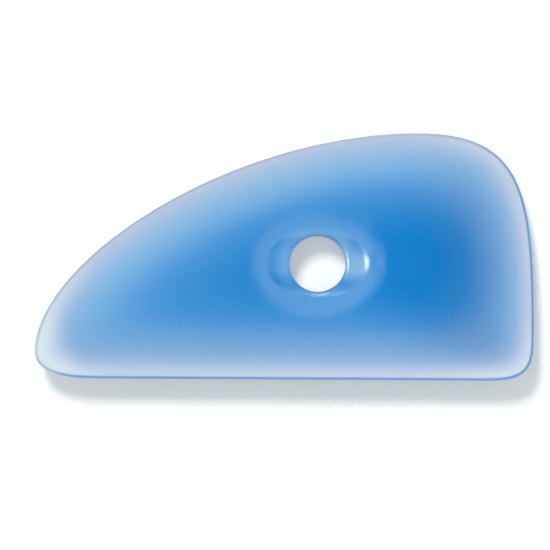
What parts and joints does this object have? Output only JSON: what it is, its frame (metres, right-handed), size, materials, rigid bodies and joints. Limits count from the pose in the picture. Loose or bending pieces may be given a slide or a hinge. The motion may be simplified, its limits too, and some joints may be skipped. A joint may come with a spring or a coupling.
{
  "type": "pottery rib",
  "caption": "Soft translucent blue pottery rib: a crowned blade with a straight edge, a long curved edge, a rounded tip and shoulder, and a dished round finger hole.",
  "frame": {"origin": "centre of the finger hole, on the blade's middle plane", "axes": "+Z along the hole, square to the blade; +X along the straight edge, from the tip to the broad end; +Y from the straight edge to the curved edge"},
  "size_m": [0.108, 0.0536, 0.0066],
  "materials": {
    "blue_polyurethane": "frosted, translucent, soft cast polyurethane, paler where the blade is thin"
  },
  "bodies": {
    "root": {"rib_blade": "blue_polyurethane"}
  },
  "joints": []
}
